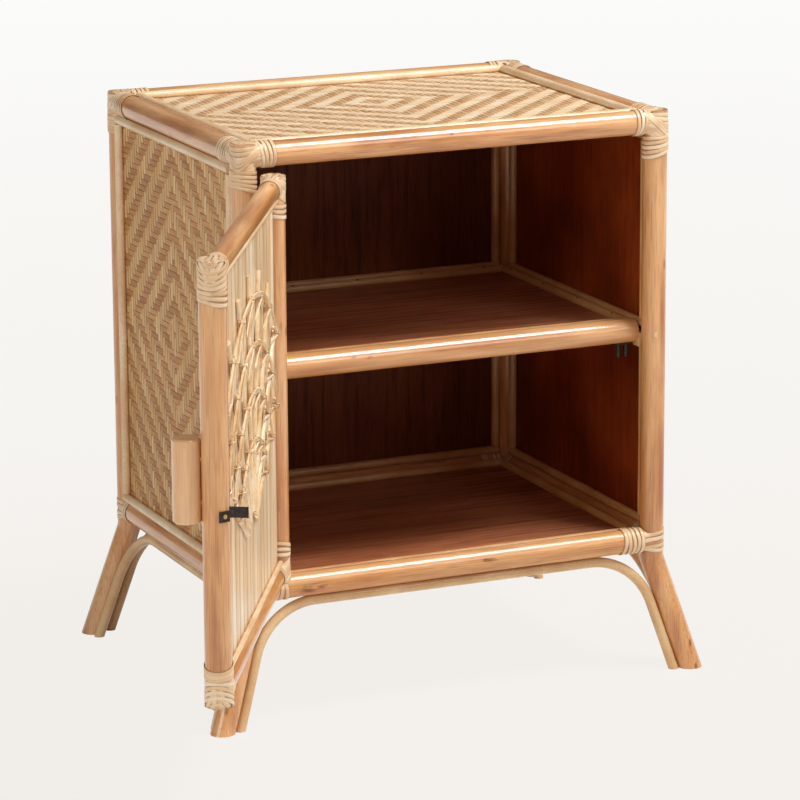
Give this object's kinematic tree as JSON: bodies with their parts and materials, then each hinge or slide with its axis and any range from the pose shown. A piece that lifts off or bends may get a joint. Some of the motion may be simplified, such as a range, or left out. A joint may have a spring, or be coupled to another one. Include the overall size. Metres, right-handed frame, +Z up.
{
  "type": "storage side table with door",
  "caption": "Cane side table on splayed legs: pole frame with woven sides and top, an inner shelf and a hinged door with a round handle, held by a roller catch.",
  "frame": {"origin": "on the floor, midway between the four legs", "axes": "+Z up; +X to the right of someone facing the door; +Y from the door towards the back"},
  "size_m": [0.7144, 0.7676, 0.5923],
  "materials": {
    "pole": "clear lacquered cane pole",
    "core_cane": "pale natural cane core",
    "peel": "lacquered cane peel",
    "weave": "woven cane peel",
    "slat": "flat cane slats",
    "fan": "cane reeds",
    "plywood": "stained plywood",
    "hardware": "dark bronzed steel"
  },
  "bodies": {
    "cabinet": {"arch_back": "core_cane", "arch_front": "core_cane", "arch_left": "core_cane", "arch_right": "core_cane", "back_beads": "core_cane", "back_panel": "plywood", "bottom_beads": "core_cane", "bottom_bindings": "peel", "bottom_panel": "plywood", "bottom_rail_back": "pole", "bottom_rail_front": "pole", "bottom_rail_left": "pole", "bottom_rail_right": "pole", "cabinet_screws": "hardware", "catch_body": "hardware", "catch_spring": "hardware", "hinge_frame_leaves": "hardware", "hinge_pins": "hardware", "inner_beads": "core_cane", "leg_back_left": "pole", "leg_back_right": "pole", "leg_front_left": "pole", "leg_front_right": "pole", "leg_plugs": "core_cane", "shelf_beads": "core_cane", "shelf_bearers": "core_cane", "shelf_panel": "plywood", "shelf_rail": "pole", "side_beads_left": "core_cane", "side_beads_right": "core_cane", "side_panel_left": "plywood", "side_panel_right": "plywood", "side_weave_left": "weave", "side_weave_right": "weave", "top_beads": "core_cane", "top_bindings": "peel", "top_panel": "plywood", "top_rail_back": "pole", "top_rail_front": "pole", "top_rail_left": "pole", "top_rail_right": "pole", "top_weave": "weave"},
    "door": {"door_beads": "core_cane", "door_bindings": "peel", "door_fan_arcs": "fan", "door_fan_ribs": "fan", "door_rail_bottom": "pole", "door_rail_top": "pole", "door_screws": "hardware", "door_slats": "slat", "door_stile_hinge": "pole", "door_stile_latch": "pole", "handle": "pole", "handle_dowels": "core_cane", "hinge_door_leaves": "hardware", "strike": "hardware"},
    "left_catch_arm": {"catch_arm_left": "hardware"},
    "right_catch_arm": {"catch_arm_right": "hardware"},
    "left_catch_roller": {"catch_roller_left": "hardware"},
    "right_catch_roller": {"catch_roller_right": "hardware"}
  },
  "joints": [
    {"name": "door_hinge", "type": "hinge", "parent": "cabinet", "child": "door", "pos_m": [-0.211, -0.1855, 0.3585], "axis": [0, 0, 1], "range_deg": [-50, 120]},
    {"name": "left_arm_pivot", "type": "hinge", "parent": "cabinet", "child": "left_catch_arm", "pos_m": [0.1981, -0.1305, 0.3423], "axis": [0, 0, -1], "range_deg": [0, 5], "stiffness_Nm_per_rad": 0.05, "springref_deg": -5.73},
    {"name": "right_arm_pivot", "type": "hinge", "parent": "cabinet", "child": "right_catch_arm", "pos_m": [0.2067, -0.1305, 0.3423], "axis": [0, 0, 1], "range_deg": [0, 5], "stiffness_Nm_per_rad": 0.05, "springref_deg": -5.73},
    {"name": "left_roller_spin", "type": "hinge", "parent": "left_catch_arm", "child": "left_catch_roller", "pos_m": [0.1981, -0.1465, 0.336], "axis": [0, 0, 1], "continuous": true},
    {"name": "right_roller_spin", "type": "hinge", "parent": "right_catch_arm", "child": "right_catch_roller", "pos_m": [0.2067, -0.1465, 0.336], "axis": [0, 0, 1], "continuous": true}
  ]
}
